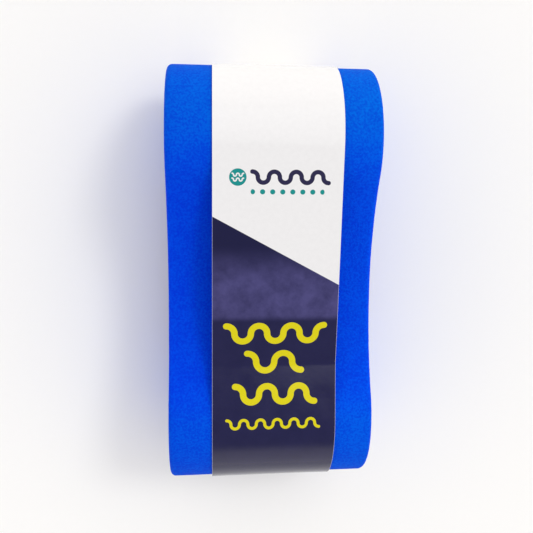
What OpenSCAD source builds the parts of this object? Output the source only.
// Pull buoy: a one-piece figure-eight foam float with its printed retail wrap.
//
// The float is two parallel rolls of closed-cell foam that run along X, with a waist between them
// for the swimmer's thighs. It lies on its broad side: X is the width, Y the length and Z the
// thickness. The origin is on the ground, under the middle of the float. A printed strip of card
// goes once round the float lengthwise, spans both hollows of the waist, and is closed on the
// underside by a strip of double-sided tape between its two ends. It slides off sideways, along X.

/* [Float] */
// Width of the float, along the swimmer's legs
float_width = 127; // [100:1:160]
// Length of the float over both rolls
float_length = 268; // [230:1:300]
// Diameter of each roll, which is the float's thickness
roll_d = 91; // [80:1:100]
// Thickness left at the narrowest point of the waist
waist_t = 49; // [36:1:60]
// Radius of the buffed edges round both end faces
edge_r = 3.2; // [1:0.1:6]

/* [Wrap] */
// Width of the printed strip
wrap_width = 76; // [40:1:90]
// How far the strip sits to the right of the middle
wrap_offset = 1.5; // [-10:0.5:10]
// Thickness of the laminated card
wrap_t = 0.5; // [0.3:0.05:1]
// Gap between the foam and the strip where the strip lies on the rolls
wrap_gap = 0.3; // [0.2:0.05:1]
// How far the strip dips below the rolls' crests in the middle of each hollow
wrap_dip = 5.5; // [1:0.5:12]

/* [Seam] */
// Length over which the strip's outer end covers its inner end
overlap = 20; // [14:1:30]
// Length in which the outer end steps outward over the inner end
step_length = 6; // [4:0.5:10]
// Width of the double-sided tape, along the strip
tape_length = 12; // [6:1:12]
// Thickness of the tape
tape_t = 0.15; // [0.1:0.05:0.3]
// How far the tape's ends stay inside the strip's edges
tape_margin = 3; // [1:0.5:8]

/* [Hidden] */
$fn = 180;

roll_r = roll_d / 2;
// Height of the float's middle plane, with the strip between the rolls and the ground
mid_z = roll_r + wrap_gap + wrap_t;
// Distance of each roll's axis from the middle of the float
axis_y = float_length / 2 - roll_r;
// How far the hollows pass below the rolls' surface, so that the two cross cleanly
sink = 0.05;
// Radius and axis of the hollow in which the strip's underside lies
seam_r = hollow_r(loop_r(wrap_gap), loop_w(wrap_gap));
seam_axis = hollow_axis(loop_r(wrap_gap), loop_w(wrap_gap));
// Room by which a cutter reaches past what it cuts
slack = 1;
// Space left between the strip's inner end and the step in its outer end
seam_gap = 1;
// How far the step's ends reach along into the two layers that it joins
seam_bite = 0.8;
// How far the step's ends stay below the surfaces of those layers
step_inset = wrap_t / 8;

// Radius of the hollow that runs into both rolls, for rolls of radius r and half a waist w
function hollow_r(r, w) = (w * w + axis_y * axis_y - pow(r - sink, 2)) / (2 * (r - sink - w));
// Distance of the hollow's axis from the middle plane
function hollow_axis(r, w) = w + hollow_r(r, w);

// Facets of an edge buffed to the radius e, from the end face round to the surface at r.
// The side is 1 on a roll, and -1 on the cutter of a hollow, which flares outward instead.
function buffed_edge(r, e, side) = [
    for (a = [0:30:90]) [r - side * e * (1 - sin(a)), e * (1 - cos(a))]
];

// Half section of a roll of radius r with buffed edges
module roll_section(r, width, e) {
    for (s = [-1, 1]) scale([1, s]) translate([0, -width / 2])
        polygon(concat([[0, 0]], buffed_edge(r, e, 1), [[r, width / 2], [0, width / 2]]));
}

// Half section of the cutter that hollows the waist to the radius r and buffs its edges
module hollow_section(r, width, e) {
    for (s = [-1, 1]) scale([1, s]) translate([0, -width / 2])
        polygon(concat(
            [[0, -slack], [r + e, -slack]],
            buffed_edge(r, e, -1),
            [[r, width / 2], [0, width / 2]]
        ));
}

// Turns a half section about an axis along X
module turned_about_x() {
    rotate([0, 90, 0]) rotate_extrude() children();
}

// Diamond between the four axes of the rolls and the hollows, extruded across the width
module waist_block(r, w, width) {
    h = hollow_axis(r, w);
    rotate([90, 0, 90]) linear_extrude(width, center = true)
        polygon([[axis_y, 0], [0, h], [-axis_y, 0], [0, -h]]);
}

module foam_float() {
    w = waist_t / 2;
    color("royalblue") translate([0, 0, mid_z]) {
        for (s = [-1, 1]) translate([0, s * axis_y, 0])
            turned_about_x() roll_section(roll_r, float_width, edge_r);
        difference() {
            waist_block(roll_r, w, float_width);
            for (s = [-1, 1]) translate([0, 0, s * hollow_axis(roll_r, w)])
                turned_about_x() hollow_section(hollow_r(roll_r, w), float_width, edge_r);
        }
    }
}

// Radius and half height of a loop that lies d outside the rolls
function loop_r(d) = roll_r + d;
function loop_w(d) = loop_r(d) - wrap_dip;

// Outline of a loop that lies d outside the rolls and dips towards the waist, filled
module loop_outline(d) {
    r = loop_r(d);
    w = loop_w(d);
    h = hollow_axis(r, w);
    for (s = [-1, 1]) translate([s * axis_y, 0]) circle(r = r);
    difference() {
        polygon([[axis_y, 0], [0, h], [-axis_y, 0], [0, -h]]);
        for (s = [-1, 1]) translate([0, s * h]) circle(r = hollow_r(r, w), $fn = 720);
    }
}

// Point on the strip's underside, from the length s along it and the depth d below its foam side
function seam_point(s, d) = [
    (seam_r - d) * sin(s / seam_r * 180 / PI),
    (seam_r - d) * cos(s / seam_r * 180 / PI) - seam_axis
];

// Wedge that reaches from the hollow's axis to the middle plane, between the lengths a and b
module seam_wedge(a, b) {
    polygon([[0, -seam_axis], seam_point(a, seam_r - seam_axis), seam_point(b, seam_r - seam_axis)]);
}

// Band on the strip's underside, from the length a to b and from the depth d to d + t
module seam_band(a, b, d, t) {
    intersection() {
        seam_wedge(a, b);
        translate([0, -seam_axis]) difference() {
            circle(r = seam_r - d, $fn = 720);
            circle(r = seam_r - d - t, $fn = 720);
        }
    }
}

// Extrudes an outline in the strip's own plane to a width, where the strip lies
module across_wrap(width) {
    translate([wrap_offset, 0, mid_z]) rotate([90, 0, 90])
        linear_extrude(width, center = true) children();
}

module wrap_strip() {
    tail_end = overlap / 2;
    step_end = tail_end + step_length;
    tail_depth = wrap_t + tape_t;
    color("ghostwhite") {
        across_wrap(wrap_width) difference() {
            loop_outline(wrap_gap + wrap_t);
            loop_outline(wrap_gap);
            seam_wedge(tail_end - seam_gap, step_end);
        }
        // The step's ends are sunk into both layers, so that the strip is one solid
        across_wrap(wrap_width) polygon([
            seam_point(step_end + seam_bite, step_inset),
            seam_point(step_end + seam_bite, wrap_t - step_inset),
            seam_point(tail_end - seam_bite, tail_depth + wrap_t - step_inset),
            seam_point(tail_end - seam_bite, tail_depth + step_inset)
        ]);
        across_wrap(wrap_width) seam_band(-tail_end, tail_end, tail_depth, wrap_t);
    }
}

module seam_tape() {
    color("lightgrey") across_wrap(wrap_width - 2 * tape_margin)
        seam_band(-tape_length / 2, tape_length / 2, wrap_t, tape_t);
}

foam_float();
wrap_strip();
seam_tape();
